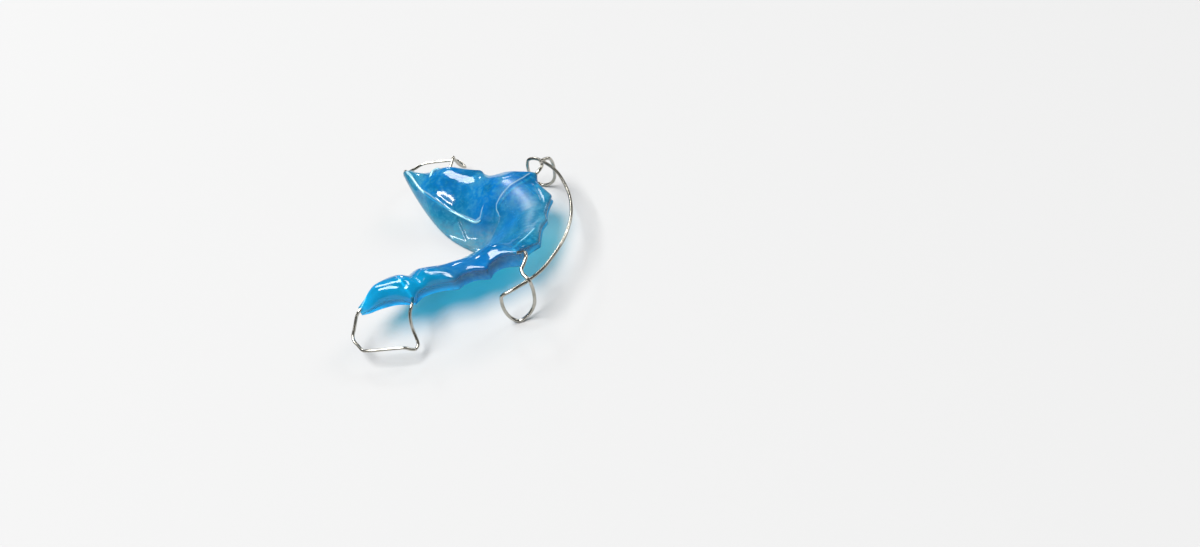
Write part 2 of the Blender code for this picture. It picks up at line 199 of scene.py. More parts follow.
def along_crowns(s, near, far, last):
    """A value of the crowns of each side, eased from one crown's middle to the next."""
    values = np.where(np.reshape(s, (-1, 1)) < 0.0, far, near)
    knots = np.concatenate([[0.0], CROWN_MIDDLES, [PLATE_HALF_LENGTH]])
    levels = np.hstack([values[:, :1], values, np.full((len(values), 1), last)])
    along = np.abs(np.ravel(s))
    i = np.clip(np.searchsorted(knots, along, side="right") - 1, 0, len(knots) - 2)
    row = np.arange(len(along))
    t = ease((along - knots[i]) / (knots[i + 1] - knots[i]))
    return (levels[row, i] + (levels[row, i + 1] - levels[row, i]) * t).reshape(np.shape(s))


def bow_rise(s):
    """The acrylic climbs the bow where it leaves."""
    return BOW_EXIT_RISE * bell(np.abs(s) - BOW_EXIT, BOW_EXIT_WIDTH)


def clasp_dip(s, lead):
    """It dips where the clasp's front arm leaves, or further to the front by the lead."""
    return CLASP_EXIT_DIP * bell(np.abs(s) - CLASP_EXIT + lead, CLASP_EXIT_WIDTH)


def rim_depth(s):
    return along_crowns(s, NEAR_RIM, FAR_RIM, TIP_RIM_DEPTH) + clasp_dip(s, 0.0) - bow_rise(s)


def shelf_depth(s):
    """The crest of the thick shelf behind the rim, with a notch on the near side."""
    notch = np.where(s < 0.0, 0.0, clasp_dip(s, CREST_NOTCH_LEAD))
    shelf = along_crowns(s, NEAR_SHELF, FAR_SHELF, TIP_SHELF_DEPTH) + notch - bow_rise(s)
    return np.minimum(shelf, rim_depth(s))


def palate_depth(r):
    return GUM_DEPTH + (VAULT_DEPTH - GUM_DEPTH) * ease((r - PALATE_START) / PALATE_RUN)


def palate_relief(x, y):
    """How far the papilla and the ridges of the palate press into the tissue side."""
    back, aside = -INCISOR_SETBACK - y, np.abs(x)
    papilla = bell(x, PAPILLA_WIDTH) * bell(back - PAPILLA_BACK, PAPILLA_LENGTH)
    ends = ease((aside - RUGA_INNER_END) / RUGA_WIDTH) * ease((RUGA_OUTER_END - aside) / RUGA_SPACING)
    slant = RUGA_SLANT * aside / RUGA_WIDTH / RUGA_COUNT
    ridges = [bell(back - PAPILLA_BACK - RUGA_SPACING * (i + 1.0 - slant), RUGA_WIDTH)
              for i in range(RUGA_COUNT)]
    return RUGA_HEIGHT * np.maximum(papilla, np.max(ridges, axis=0) * ends)


def polished_depth(s, r):
    """The side that faces the tongue: rim, shelf, slope to the vault, and the rolled edge."""
    start, reach = tooth_reach(s), border_reach(s)
    end = PALATE_START + PALATE_RUN
    shelf = shelf_depth(s)
    low = VAULT_DEPTH - EDGE_THICKNESS
    depth = shelf + (low - shelf) * ease((r - SHELF_REACH) / (end - SHELF_REACH))
    u = np.clip((r - start) / (SHELF_REACH - start), 0.0, 1.0)
    depth = depth + (rim_depth(s) - shelf) * (1.0 - u) ** 2
    edge = palate_depth(reach) - EDGE_THICKNESS
    v = np.clip((r - (reach - EDGE_ROLL)) / EDGE_ROLL, 0.0, 1.0)
    return depth + np.maximum(edge - depth, 0.0) * (1.0 - np.sqrt(1.0 - v * v))


def round_over(distance, radius):
    """How far a rounded corner falls at a distance from its edge."""
    t = np.clip(1.0 - distance / radius, 0.0, 1.0)
    return radius * (1.0 - np.sqrt(1.0 - t * t))


def polished_point(s, r):
    x, y = plan_point(s, r)
    return Vector((float(x), float(y), float(BITE_HEIGHT - polished_depth(s, r))))


def inside_plate(s, r, cover):
    """A point of a wire in the plate: so far under the polished side, or halfway where it is thin."""
    surface = polished_point(s, r)
    along = polished_point(s + PROBE, r) - surface
    inwards = polished_point(s, r + PROBE) - surface
    down = along.cross(inwards).normalized()
    if down.z > 0.0:
        down.negate()
    thickness = float(palate_depth(r) - polished_depth(s, r)) * -down.z
    return surface + down * min(cover, thickness / 2.0)


def tag_points(exit_place, tag, cover):
    return [inside_plate(exit_place + a * MM, r * MM, cover) for a, r in tag]


def mirrored(points):
    return [Vector((-p.x, p.y, p.z)) for p in points]


near_bow_tag = tag_points(BOW_EXIT, NEAR_BOW_TAG, BOW_TAG_COVER)
far_bow_tag = tag_points(BOW_EXIT, FAR_BOW_TAG, BOW_TAG_COVER)
front_clasp_tag = tag_points(CLASP_EXIT, FRONT_CLASP_TAG, FRONT_TAG_COVER)
rear_clasp_tag = tag_points(ARCH_LENGTH, REAR_CLASP_TAG, REAR_TAG_COVER)

# Hand finishing: the acrylic stands slightly proud over a wire, and the buffed side undulates, but
# less over a wire and within a few roundings of an edge
TAG_RIDGE_HEIGHT = 0.03 * MM
TAG_RIDGE_WIDTH = 0.55 * MM
WAVE_HEIGHT = 0.16 * MM
WAVE_SCALE = 130.0
WAVE_SEED = 3.0
RIPPLE_HEIGHT = 0.035 * MM
RIPPLE_SCALE = 420.0
RIPPLE_SEED = 8.0
CALM_OVER_WIRE = 0.8
CALM_ROUNDINGS = 4.0

# A painted highlight: a paler line in the blue over each wire, in mm from the wire's middle: where
# the line starts to fade, and where it ends. The mask is for the places halfway between two wires,
# where the offset changes sign without a wire.
PAINTED_HIGHLIGHT_LINE = (0.04, 0.18)
PAINTED_HIGHLIGHT_MASK_WIDTH = 0.6 * MM
NO_WIRE_MM = 1.0

# Folds pressed into the polished side before it set: plan places, depth and width, all in mm
FOLDS = (
    (((-11.6, -11.0), (-9.3, -9.6), (-6.8, -8.5), (-5.3, -8.0)), 0.26, 0.42),
    (((-5.0, -22.4), (-4.5, -17.9), (-3.0, -13.5), (-4.7, -7.5)), 0.2, 1.0),
    (((0.6, -19.0), (2.5, -14.0), (2.0, -10.2), (-1.2, -7.1)), 0.18, 0.9),
    (((18.1, -33.1), (17.9, -31.5), (17.6, -30.1), (17.6, -28.4), (17.8, -26.7), (18.0, -24.8)), 0.22, 0.5),
    (((22.2, -45.4), (21.4, -43.4), (20.7, -41.4), (20.2, -39.3), (20.1, -37.1)), 0.22, 0.5),
    (((20.3, -36.2), (19.8, -35.6)), 0.4, 0.8),
    (((17.9, -37.9), (18.2, -36.2)), 0.22, 0.4),
    (((16.9, -33.6), (15.9, -32.2)), 0.22, 0.4),
    (((15.6, -31.0), (14.9, -29.6)), 0.2, 0.4),
    (((2.4, -14.6), (2.5, -14.6)), 0.25, 0.35),
)

# Patches of painted shade, a deeper blue, and below 0 of painted light, a paler blue: plan places
# in mm, strength, and width in mm. The patch where the buffing was lighter is written in the same way.
PAINTED_SHADE_AND_LIGHT_POOLS = (
    (((1.8, -24.6), (-0.6, -20.6), (-1.4, -18.4), (-2.5, -16.0)), 0.6, 2.6),
    (((14.0, -17.0), (15.3, -25.0)), 0.65, 3.2),
    (((-7.5, -26.2), (-7.2, -24.0)), 0.6, 2.0),
    (((22.0, -44.0), (20.5, -36.0)), -1.0, 3.2),
    (((18.6, -32.4), (18.8, -27.5)), -0.9, 2.2),
)
# The face behind the crowns is painted paler: painted light
TOOTH_FACE_PAINTED_LIGHT = -0.6
MATT_PATCH = (((-7.8, -14.6), (-4.3, -11.2), (1.4, -10.0)), 1.0, 4.2)

# A thin facet beside the notch, almost clear: its corners in the plan, in mm
FACET = ((1.6, -26.4), (-4.3, -20.2), (-8.0, -31.0))
FACET_THICKNESS = 0.9 * MM
FACET_SOFT = (0.5 * MM, 4.0 * MM, 0.5 * MM)


def offset_from(path, x, y):
    """How far each plan place is from a chain of points, below 0 on the chain's right."""
    nearest, hand = np.full(x.shape, np.inf), np.ones(x.shape)
    for (px, py), (qx, qy) in zip(path, path[1:]):
        share = ((x - px) * (qx - px) + (y - py) * (qy - py)) / ((qx - px) ** 2 + (qy - py) ** 2)
        share = np.clip(share, 0.0, 1.0)
        gap = np.hypot(x - px - (qx - px) * share, y - py - (qy - py) * share)
        turn = (qx - px) * (y - py) - (qy - py) * (x - px)
        hand = np.where(gap < nearest, np.where(turn < 0.0, -1.0, 1.0), hand)
        nearest = np.minimum(nearest, gap)
    return nearest * hand


def offset_from_wires(x, y):
    """How far each plan place is from the nearest wire that shows under the polished side."""
    bow_tags = (near_bow_tag[NEAR_BOW_SHOWS_FROM:], mirrored(far_bow_tag))
    tags = bow_tags + (rear_clasp_tag, mirrored(rear_clasp_tag))
    offsets = np.array([offset_from([(p.x, p.y) for p in tag], x, y) for tag in tags])
    return np.take_along_axis(offsets, np.abs(offsets).argmin(axis=0)[None], axis=0)[0]


def patches(table, x, y):
    """The strength of each patch of a table at each plan place."""
    return [strength * bell(offset_from([(a * MM, b * MM) for a, b in path], x, y), width * MM)
            for path, strength, width in table]


def facet_share(x, y):
    """1 inside the thin facet, 0 outside, with an edge of its own softness on each side."""
    share = np.ones(x.shape)
    for (px, py), (qx, qy), soft in zip(FACET, FACET[1:] + FACET[:1], FACET_SOFT):
        across = ((x / MM - px) * (qy - py) - (y / MM - py) * (qx - px)) / math.hypot(qx - px, qy - py)
        share = share * ease(-across * MM / soft + 0.5)
    return share


def waves(x, y, scale, seed):
    """Smooth random heights from -1 to 1."""
    heights = [noise.noise(Vector((a * scale, b * scale, seed))) for a, b in zip(x.ravel(), y.ravel())]
    return np.array(heights).reshape(x.shape)


# The plate is a row of rings, one for each station of the arch: polished side, back border, tissue
# side and the face behind the crowns
STATIONS_PER_MM = 4.0
POLISHED_STEPS = 96
BORDER_STEPS = 6
TISSUE_STEPS = 72
TOOTH_FACE_STEPS = 12
END_BUNCHING = 0.6


def bunched(count):
    """Shares from 0 to 1, closer together at both ends."""
    u = np.linspace(0.0, 1.0, count)
    return (1.0 - END_BUNCHING) * u + END_BUNCHING * (1.0 - np.cos(np.pi * u)) / 2.0


def between(count):
    """Shares from 0 to 1, without the two ends."""
    return np.linspace(0.0, 1.0, count + 2)[None, 1:-1]


half = int(PLATE_HALF_LENGTH / MM * STATIONS_PER_MM)
s = np.linspace(-PLATE_HALF_LENGTH, PLATE_HALF_LENGTH, 2 * half + 1)[:, None]
start, reach = tooth_reach(s), border_reach(s)

r_top = start + (reach - start) * bunched(POLISHED_STEPS)[None, :]
top = polished_depth(s, r_top)
top_x, top_y = plan_point(s, r_top)
from_rim = ease((r_top - start) / RIM_ROUND / CALM_ROUNDINGS)
from_border = ease((reach - r_top) / BORDER_ROUND / CALM_ROUNDINGS)
inner = from_rim * from_border
wire_offset = offset_from_wires(top_x, top_y)
tag_ridge = bell(wire_offset, TAG_RIDGE_WIDTH)
top = top + TAG_RIDGE_HEIGHT * (1.0 - inner * tag_ridge)
top = top + inner * (MM * np.max(patches(FOLDS, top_x, top_y), axis=0))
facet = facet_share(top_x, top_y)
top = top + facet * np.maximum(palate_depth(r_top) - top - FACET_THICKNESS, 0.0)
lively = inner * (1.0 - CALM_OVER_WIRE * tag_ridge)
top = top + WAVE_HEIGHT * lively * (1.0 + waves(top_x, top_y, WAVE_SCALE, WAVE_SEED)) / 2.0
top = top + RIPPLE_HEIGHT * lively * waves(top_x, top_y, RIPPLE_SCALE, RIPPLE_SEED)
thickness = palate_depth(r_top) - top
top = top + round_over(r_top - start, RIM_ROUND) + round_over(reach - r_top, BORDER_ROUND)

r_under = reach + (start - reach) * bunched(TISSUE_STEPS)[None, :]
under = palate_depth(r_under) - palate_relief(*plan_point(s, r_under))
under_thickness = palate_depth(r_under) - polished_depth(s, r_under)
under = under - round_over(reach - r_under, BORDER_ROUND) - round_over(r_under - start, FOOT_ROUND)

r_border = np.repeat(reach, BORDER_STEPS, axis=1)
border = top[:, -1:] + (under[:, :1] - top[:, -1:]) * between(BORDER_STEPS)
border_thickness = np.repeat(thickness[:, -1:], BORDER_STEPS, axis=1)

r_face = start + LINGUAL_HOLLOW * np.sin(np.pi * between(TOOTH_FACE_STEPS))
face = under[:, -1:] + (top[:, :1] - under[:, -1:]) * between(TOOTH_FACE_STEPS)
face_thickness = np.repeat(under_thickness[:, -1:], TOOTH_FACE_STEPS, axis=1)

ring_x, ring_y = plan_point(s, np.concatenate([r_top, r_border, r_under, r_face], axis=1))
ring_z = BITE_HEIGHT - np.concatenate([top, border, under, face], axis=1)
ring = np.stack([ring_x, ring_y - ARCH_CENTRE_Y, ring_z], axis=2)


def round_the_ring(polished_values, border_value, tissue_value, face_value):
    """A value at each point of the rings: the polished side's own, and one for each other side."""
    sides = [polished_values]
    for side, value in ((border, border_value), (under, tissue_value), (face, face_value)):
        sides.append(np.full(side.shape, value))
    return np.concatenate(sides, axis=1)


ring_thickness = np.concatenate([thickness, border_thickness, under_thickness, face_thickness], axis=1)
ring_polish = round_the_ring(1.0 - patches((MATT_PATCH,), top_x, top_y)[0], 1.0, 0.0, 0.0)
# A mask for the painted highlight line over the wires
ring_painted_highlight_mask = round_the_ring(bell(wire_offset, PAINTED_HIGHLIGHT_MASK_WIDTH), 0.0, 0.0, 0.0)
ring_offset = round_the_ring(wire_offset / MM, NO_WIRE_MM, NO_WIRE_MM, NO_WIRE_MM)
# Patches of painted shade and painted light, a deeper and a paler blue
ring_painted_shade_and_light = np.sum(patches(PAINTED_SHADE_AND_LIGHT_POOLS, ring_x, ring_y), axis=0)
ring_painted_shade_and_light[:, -TOOTH_FACE_STEPS:] += TOOTH_FACE_PAINTED_LIGHT

rows, columns = ring.shape[:2]
index = np.arange(rows * columns).reshape(rows, columns)
following = np.roll(index, -1, axis=1)
quads = np.stack([index[:-1], following[:-1], following[1:], index[1:]], axis=2).reshape(-1, 4)
faces = quads.tolist() + [index[0].tolist()[::-1], index[-1].tolist()]
plate_mesh = bpy.data.meshes.new("acrylic_baseplate")
plate_mesh.from_pydata(ring.reshape(-1, 3).tolist(), [], faces)
plate_mesh.validate()
plate_mesh.shade_smooth()
# The mesh keeps these at its points, the painted shade and light among them
for name, values in (
    ("thickness_mm", ring_thickness / MM),
    ("polish", ring_polish),
    ("painted_shade_and_light", ring_painted_shade_and_light),
    ("painted_highlight_mask", ring_painted_highlight_mask),
    ("wire_offset_mm", ring_offset),
):
    layer = plate_mesh.attributes.new(name, "FLOAT", "POINT")
    layer.data.foreach_set("value", values.ravel().astype(np.float32))
plate = bpy.data.objects.new("acrylic_baseplate", plate_mesh)
bpy.context.scene.collection.objects.link(plate)

# Looks of the acrylic. Its blue goes from thin through middle to deep with its thickness in mm, and
# layers of random mottle, then of painted shade and painted light, go over that in turn: mask, where it
# starts, where it is full, strength, colour
SEE_THROUGH = 0.55
ACRYLIC_IOR = 1.49
THIN_MM, DEEP_MM, MIDDLE_SHARE = 0.7, 6.0, 0.3
THIN_BLUE = (0.21, 0.32, 0.365, 1.0)
MIDDLE_BLUE = (0.01, 0.225, 0.36, 1.0)
DEEP_BLUE = (0.0, 0.21, 0.58, 1.0)
MOTTLE_AND_PAINTED_SHADING_LAYERS = (
    ("Clouds", 0.48, 0.68, 0.6, (0.095, 0.34, 0.43, 1.0)),
    ("Hairlines", 0.48, 0.66, 0.6, (0.07, 0.38, 0.51, 1.0)),
    ("Clouds", 0.5, 0.32, 0.7, (0.0, 0.155, 0.30, 1.0)),
    # The last two layers are painted shade, a deeper blue, and painted light, a paler blue
    ("painted_shade_and_light", 0.0, 1.0, 0.9, (0.0, 0.21, 0.60, 1.0)),
    ("painted_shade_and_light", 0.0, -1.0, 0.9, (0.0, 0.49, 0.86, 1.0)),
)
# The paler blue of the painted highlight line over the wires
PAINTED_HIGHLIGHT_BLUE = (0.42, 0.64, 0.71, 1.0)
HAIRLINES_FROM, HAIRLINES_TO = 0.3, 0.7
BUFFED_LEAST, BUFFED_MOST = 0.03, 0.09
TISSUE_ROUGHNESS = 0.42
ABSORBED_TINT = (0.0, 0.889, 0.945, 1.0)
ABSORBED_DENSITY = 900.0
SHADOW_TINT = (0.62, 0.65, 0.67, 1.0)

# Marks from the bench: sizes of their two patterns on the acrylic, and how fine these are
ACRYLIC_MARKS = {"Scale": 900.0, "Stretch": 2.0, "Cloud Scale": 240.0}
HAIRLINE_DETAIL = 3.0
CLOUD_DETAIL = 4.0
CLOUD_ROUGHNESS = 0.6


def bench_mark_group():
    """A mask of hairlines and a cloudy mask, for acrylic and steel."""
    group = bpy.data.node_groups.new("bench_marks", "ShaderNodeTree")
    group.interface.new_socket("Vector", in_out="INPUT", socket_type="NodeSocketVector")
    for name, value in ACRYLIC_MARKS.items():
        group.interface.new_socket(name, in_out="INPUT", socket_type="NodeSocketFloat").default_value = value
    group.interface.new_socket("Hairlines", in_out="OUTPUT", socket_type="NodeSocketFloat")
    group.interface.new_socket("Clouds", in_out="OUTPUT", socket_type="NodeSocketFloat")
    made, joins = group.nodes, group.links
    entry, leave = made.new("NodeGroupInput"), made.new("NodeGroupOutput")
    squeeze = made.new("ShaderNodeCombineXYZ")
    squeeze.inputs["Y"].default_value = 1.0
    squeeze.inputs["Z"].default_value = 1.0
    joins.new(entry.outputs["Stretch"], squeeze.inputs["X"])
    pulled = made.new("ShaderNodeVectorMath")
    pulled.operation = "MULTIPLY"
    joins.new(entry.outputs["Vector"], pulled.inputs[0])
    joins.new(squeeze.outputs["Vector"], pulled.inputs[1])
    hairs = made.new("ShaderNodeTexNoise")
    hairs.inputs["Detail"].default_value = HAIRLINE_DETAIL
    joins.new(pulled.outputs["Vector"], hairs.inputs["Vector"])
    joins.new(entry.outputs["Scale"], hairs.inputs["Scale"])
    joins.new(hairs.outputs["Fac"], leave.inputs["Hairlines"])
    clouds = made.new("ShaderNodeTexNoise")
    clouds.inputs["Detail"].default_value = CLOUD_DETAIL
    clouds.inputs["Roughness"].default_value = CLOUD_ROUGHNESS
    joins.new(entry.outputs["Vector"], clouds.inputs["Vector"])
    joins.new(entry.outputs["Cloud Scale"], clouds.inputs["Scale"])
    joins.new(clouds.outputs["Fac"], leave.inputs["Clouds"])
    return group


bench_marks = bench_mark_group()


def placed_marks(tree, vector, sizes):
    """The bench marks on one material, with its own sizes."""
    marks = tree.nodes.new("ShaderNodeGroup")
    marks.node_tree = bench_marks
    for name, value in sizes.items():
        marks.inputs[name].default_value = value
    tree.links.new(vector, marks.inputs["Vector"])
    return marks


def kept_value(tree, name):
    """A value that the mesh keeps at its points."""
    node = tree.nodes.new("ShaderNodeAttribute")
    node.attribute_name = name
    return node.outputs["Fac"]


def spread(tree, value, low, high, out_low, out_high):
    """A value brought from one range to another, clamped."""
    node = tree.nodes.new("ShaderNodeMapRange")
    node.inputs["From Min"].default_value, node.inputs["From Max"].default_value = low, high
    node.inputs["To Min"].default_value, node.inputs["To Max"].default_value = out_low, out_high
    tree.links.new(value, node.inputs["Value"])
    return node.outputs["Result"]


def blended(tree, factor, below, above):
    """A colour laid over another by a mask."""
    mix = tree.nodes.new("ShaderNodeMix")
    mix.data_type = "RGBA"
    tree.links.new(factor, mix.inputs["Factor"])
    tree.links.new(below, mix.inputs["A"])
    mix.inputs["B"].default_value = above
    return mix.outputs["Result"]


def clear_blue_acrylic():
    material = bpy.data.materials.new("clear_blue_acrylic")
    material.use_nodes = True
    tree = material.node_tree
    nodes, links = tree.nodes, tree.links
    shader = nodes["Principled BSDF"]
    shader.inputs["Transmission Weight"].default_value = SEE_THROUGH
    shader.inputs["IOR"].default_value = ACRYLIC_IOR
    marks = placed_marks(tree, nodes.new("ShaderNodeTexCoord").outputs["Object"], ACRYLIC_MARKS)

    tint = nodes.new("ShaderNodeValToRGB")
    ramp = tint.color_ramp.elements
    ramp[0].color, ramp[1].color = THIN_BLUE, DEEP_BLUE
    ramp.new(MIDDLE_SHARE).color = MIDDLE_BLUE
    links.new(spread(tree, kept_value(tree, "thickness_mm"), THIN_MM, DEEP_MM, 0.0, 1.0), tint.inputs["Fac"])
    masks = {
        "Clouds": marks.outputs["Clouds"],
        "Hairlines": marks.outputs["Hairlines"],
        "painted_shade_and_light": kept_value(tree, "painted_shade_and_light"),
    }
    # The blue gets random mottle, then painted shade and painted light
    blue = tint.outputs["Color"]
    for mask, begin, full, strength, colour in MOTTLE_AND_PAINTED_SHADING_LAYERS:
        blue = blended(tree, spread(tree, masks[mask], begin, full, 0.0, strength), blue, colour)

    # A painted highlight: a paler line in the blue over each wire
    aside = nodes.new("ShaderNodeMath")
    aside.operation = "ABSOLUTE"
    links.new(kept_value(tree, "wire_offset_mm"), aside.inputs[0])
    painted_line_share = nodes.new("ShaderNodeMath")
    painted_line_share.operation = "MULTIPLY"
    links.new(spread(tree, aside.outputs["Value"], *PAINTED_HIGHLIGHT_LINE, 1.0, 0.0), painted_line_share.inputs[0])
    links.new(kept_value(tree, "painted_highlight_mask"), painted_line_share.inputs[1])
    blue = blended(tree, painted_line_share.outputs["Value"], blue, PAINTED_HIGHLIGHT_BLUE)
    links.new(blue, shader.inputs["Base Color"])

    gloss = nodes.new("ShaderNodeMix")
    gloss.inputs["A"].default_value = TISSUE_ROUGHNESS
    buffed = spread(tree, masks["Hairlines"], HAIRLINES_FROM, HAIRLINES_TO, BUFFED_LEAST, BUFFED_MOST)
    links.new(kept_value(tree, "polish"), gloss.inputs["Factor"])
    links.new(buffed, gloss.inputs["B"])
    links.new(gloss.outputs["Result"], shader.inputs["Roughness"])

    absorb = nodes.new("ShaderNodeVolumeAbsorption")
    absorb.inputs["Color"].default_value = ABSORBED_TINT
    absorb.inputs["Density"].default_value = ABSORBED_DENSITY
    links.new(absorb.outputs["Volume"], nodes["Material Output"].inputs["Volume"])

    rays = nodes.new("ShaderNodeLightPath")
    let_through = nodes.new("ShaderNodeBsdfTransparent")
    let_through.inputs["Color"].default_value = SHADOW_TINT
    passing = nodes.new("ShaderNodeMixShader")
    links.new(rays.outputs["Is Shadow Ray"], passing.inputs["Fac"])
    links.new(shader.outputs["BSDF"], passing.inputs[1])
    links.new(let_through.outputs["BSDF"], passing.inputs[2])
    links.new(passing.outputs["Shader"], nodes["Material Output"].inputs["Surface"])
    return material


plate_mesh.materials.append(clear_blue_acrylic())

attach(plate, "root")
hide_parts("baseplate")

# Wires. Springy stainless wire, drawn round and bent cold with pliers: a labial bow of 0.8 mm
# with a loop at each canine, and a clasp of 0.7 mm with two arrowheads round each last molar.
# Each is one length, and its ends are cast into the plate.
BOW_DIAMETER = 0.8 * MM
CLASP_DIAMETER = 0.7 * MM
BOW_OUT = 2.1 * MM
BOW_DEPTH = 5.0 * MM
BOW_FOOT = (BITE_HEIGHT - BOW_DIAMETER / 2.0) / MM
WIRE_SIDES = 16
WIRE_SPACING = 0.28 * MM
TAG_SPARE = 0.8 * MM

# Each spot, in mm: along the arch from the exit, out from the contact line, and depth
BOW_SPOTS = (
    (0.1, 0.2, 1.7), (0.7, 1.9, 1.6), (1.8, 2.8, 2.1), (2.8, 3.6, 2.5), (3.0, 4.6, 2.9),
    (2.7, 6.2, 3.5), (2.6, 6.8, 5.0), (2.8, 6.9, 8.0), (3.4, 6.7, 10.8), (5.1, 6.5, 13.0),
    (7.2, 6.1, BOW_FOOT), (8.5, 5.4, 12.2), (9.0, 5.1, 9.8), (8.9, 5.0, 7.4), (8.4, 5.4, 5.4),
    (6.6, 5.8, 4.7), (3.2, 5.4, 4.7), (-0.8, 4.4, 4.9), (-4.6, 3.0, 5.0), (-8.5, 2.2, 5.0),
    (-12.0, 2.0, 5.0),
)
CLASP_SPOTS = (
    (13.8, -3.9, 5.6), (14.6, -3.4, 6.4), (15.2, -2.4, 7.3), (15.9, -1.6, 8.4), (16.5, -0.7, 9.3),
    (16.3, 0.5, 9.7), (15.5, 1.8, 9.9), (14.4, 3.6, 10.0), (13.5, 4.1, 9.9), (6.9, 5.8, 9.8),
    (5.0, 6.2, 10.0), (4.0, 6.3, 10.8), (3.2, 6.0, 11.4), (2.5, 5.2, 11.0), (2.5, 4.2, 10.0),
    (2.6, 3.3, 8.5), (2.4, 2.4, 6.4), (1.9, 1.5, 4.7), (1.1, 0.4, 3.7),
)


def outside_arch(s, out, depth):
    """A point at the distance out from the contact line, towards lip and cheek."""
    x, y = contact_line(s)
    slope_x, slope_y = (b - a for a, b in zip(contact_line(s), contact_line(s + PROBE)))
    run = math.hypot(slope_x, slope_y)
    return Vector((float(x - slope_y / run * out), float(y + slope_x / run * out), BITE_HEIGHT - depth))


def beside_exit(exit_place, spots):
    return [outside_arch(exit_place + a * MM, out * MM, depth * MM) for a, out, depth in spots]


def bent_path(points, step):
    """Points about one step apart on a smooth curve through the given points."""
    path = []
    ends = [2.0 * points[0] - points[1]] + list(points) + [2.0 * points[-1] - points[-2]]
    for p0, p1, p2, p3 in zip(ends, ends[1:], ends[2:], ends[3:]):
        count = max(1, round((p2 - p1).length / step))
        k1, k2, k3 = (math.sqrt((b - a).length) for a, b in ((p0, p1), (p1, p2), (p2, p3)))
        m1 = (p2 - p1) + k2 * ((p1 - p0) / k1 - (p2 - p0) / (k1 + k2))
        m2 = (p2 - p1) + k2 * ((p3 - p2) / k3 - (p3 - p1) / (k2 + k3))
        for i in range(count):
            t = i / count
            path.append(
                p1 * (2 * t**3 - 3 * t**2 + 1) + m1 * (t**3 - 2 * t**2 + t)
                + p2 * (3 * t**2 - 2 * t**3) + m2 * (t**3 - t**2)
            )
    path.append(points[-1].copy())
    return path


def wire_tree(material):
    """Draws a round wire along a chain of edges, and keeps where each point is on it."""
    tree = bpy.data.node_groups.new("drawn_wire", "GeometryNodeTree")
    tree.interface.new_socket("Path", in_out="INPUT", socket_type="NodeSocketGeometry")
    for name, kind, value in (
        ("Diameter", "NodeSocketFloat", BOW_DIAMETER),
        ("Spacing", "NodeSocketFloat", WIRE_SPACING),
        ("Sides", "NodeSocketInt", WIRE_SIDES),
    ):
        tree.interface.new_socket(name, in_out="INPUT", socket_type=kind).default_value = value
    tree.interface.new_socket("Wire", in_out="OUTPUT", socket_type="NodeSocketGeometry")
    made, links = tree.nodes, tree.links
    entry, leave = made.new("NodeGroupInput"), made.new("NodeGroupOutput")
    curve = made.new("GeometryNodeMeshToCurve")
    even = made.new("GeometryNodeResampleCurve")
    even.mode = "LENGTH"
    along = made.new("GeometryNodeSplineParameter")
    keep_along = made.new("GeometryNodeStoreNamedAttribute")
    keep_along.inputs["Name"].default_value = "along_wire"
    radius = made.new("ShaderNodeMath")
    radius.operation = "MULTIPLY"
    radius.inputs[1].default_value = 0.5
    ring = made.new("GeometryNodeCurvePrimitiveCircle")
    around = made.new("GeometryNodeSplineParameter")
    keep_around = made.new("GeometryNodeStoreNamedAttribute")
    keep_around.inputs["Name"].default_value = "around_wire"
    sweep = made.new("GeometryNodeCurveToMesh")
    sweep.inputs["Fill Caps"].default_value = True
    smooth = made.new("GeometryNodeSetShadeSmooth")
    solid = made.new("GeometryNodeRealizeInstances")
    paint = made.new("GeometryNodeSetMaterial")
    paint.inputs["Material"].default_value = material
    for source, target in (
        (entry.outputs["Path"], curve.inputs["Mesh"]),
        (curve.outputs["Curve"], even.inputs["Curve"]),
        (entry.outputs["Spacing"], even.inputs["Length"]),
        (even.outputs["Curve"], keep_along.inputs["Geometry"]),
        (along.outputs["Length"], keep_along.inputs["Value"]),
        (keep_along.outputs["Geometry"], sweep.inputs["Curve"]),
        (entry.outputs["Diameter"], radius.inputs[0]),
        (radius.outputs["Value"], ring.inputs["Radius"]),
        (entry.outputs["Sides"], ring.inputs["Resolution"]),
        (ring.outputs["Curve"], keep_around.inputs["Geometry"]),
        (around.outputs["Factor"], keep_around.inputs["Value"]),
        (keep_around.outputs["Geometry"], sweep.inputs["Profile Curve"]),
        (sweep.outputs["Mesh"], smooth.inputs["Geometry"]),
        (smooth.outputs["Geometry"], solid.inputs["Geometry"]),
        (solid.outputs["Geometry"], paint.inputs["Geometry"]),
        (paint.outputs["Geometry"], leave.inputs["Wire"]),
    ):
        links.new(source, target)
    return tree


def gone_by(points):
    """The length gone at each point of a chain."""
    return np.cumsum([0.0] + [(q - p).length for p, q in zip(points, points[1:])])


